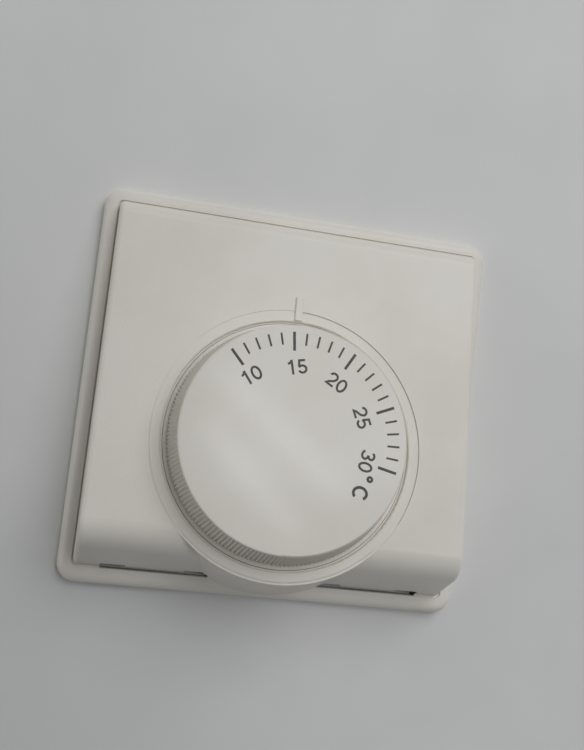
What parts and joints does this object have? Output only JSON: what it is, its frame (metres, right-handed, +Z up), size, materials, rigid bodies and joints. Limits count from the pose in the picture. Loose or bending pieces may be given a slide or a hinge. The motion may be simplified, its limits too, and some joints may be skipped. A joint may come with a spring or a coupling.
{
  "type": "wall thermostat",
  "caption": "Wedge-shaped white wall thermostat with a large ribbed dial in a round collar, vents at its foot and a gas-capsule switch inside",
  "frame": {"origin": "middle of the flat back face that lies on the wall", "axes": "+Z up the wall, +X to the right seen from the front, -Y out of the wall towards the room"},
  "size_m": [0.087, 0.0253, 0.0842],
  "materials": {
    "casing": "warm white moulded plastic with a fine satin grain",
    "knob": "warm white moulded plastic, smooth satin face and ribbed side",
    "terminal_plastic": "black moulded plastic",
    "pusher_plastic": "red-brown moulded plastic",
    "spring_steel": "blued spring steel",
    "turned_steel": "turned bright steel",
    "zinc_steel": "zinc-plated pressed steel",
    "screw_steel": "zinc-plated screw steel",
    "brass_turned": "turned brass",
    "brass_strip": "rolled brass strip",
    "bronze_sheet": "rolled phosphor bronze sheet",
    "capsule_metal": "drawn bright metal shell",
    "silver_contact": "silver contact metal",
    "magnet_iron": "bare soft iron",
    "magnet_ceramic": "dark ferrite",
    "resistor_body": "tan lacquered ceramic"
  },
  "bodies": {
    "base": {"base_plate": "casing", "front_cover": "casing", "terminal_block": "terminal_plastic", "guide_pins": "turned_steel", "lever_pivot_pin": "turned_steel", "spindle_bush": "brass_turned", "mechanism_frame": "zinc_steel", "frame_screws": "screw_steel", "cover_screw": "screw_steel", "contact_screws": "screw_steel", "terminal_screws": "screw_steel", "fixed_contact": "silver_contact", "snap_magnet": "magnet_ceramic", "fixed_contact_bracket": "brass_strip", "terminal_clamps": "brass_strip", "live_busbar": "brass_strip", "heating_busbar": "brass_strip", "neutral_link": "brass_strip", "accelerator_resistor": "resistor_body"},
    "dial": {"dial_knob": "knob", "knob_clip": "spring_steel", "setting_spindle": "turned_steel", "spindle_clip": "spring_steel"},
    "capsule": {"setting_nut": "brass_turned", "capsule_front_shell": "capsule_metal", "capsule_rear_shell": "capsule_metal", "capsule_diaphragm": "bronze_sheet"},
    "pusher": {"capsule_pusher": "pusher_plastic"},
    "lever": {"switch_lever": "zinc_steel", "calibration_screw": "brass_turned"},
    "blade": {"contact_blade": "bronze_sheet", "moving_contact": "silver_contact", "blade_armature": "magnet_iron"}
  },
  "joints": [
    {"name": "dial_turn", "type": "hinge", "parent": "base", "child": "dial", "pos_m": [0, -0.01426, -0.0083], "axis": [0, -0.9869, 0.1616], "range_deg": [-40.68, 103.32]},
    {"name": "nut_slide", "type": "slide", "parent": "base", "child": "capsule", "axis": [0, -0.9869, 0.1616], "range_m": [-0.00012, 0.0003]},
    {"name": "pusher_slide", "type": "slide", "parent": "capsule", "child": "pusher", "axis": [0, -0.9869, 0.1616], "range_m": [0, 0.0004], "deforming": ["capsule_diaphragm"]},
    {"name": "lever_turn", "type": "hinge", "parent": "base", "child": "lever", "pos_m": [-0.02, -0.00469, -0.00987], "axis": [0, -0.1616, -0.9869], "range_deg": [0, 1.16]},
    {"name": "blade_flex", "type": "hinge", "parent": "base", "child": "blade", "pos_m": [0.0215, -0.00879, -0.0244], "axis": [1, 0, 0], "range_deg": [0, 3.2], "deforming": ["contact_blade"]}
  ],
  "couplings": [
    {"joint": "nut_slide", "follows": "dial_turn", "m_per_rad": 0.00015915},
    {"joint": "lever_turn", "follows": "pusher_slide", "rad_per_m": 50},
    {"joint": "blade_flex", "follows": "pusher_slide", "rad_per_m": 138.3}
  ]
}
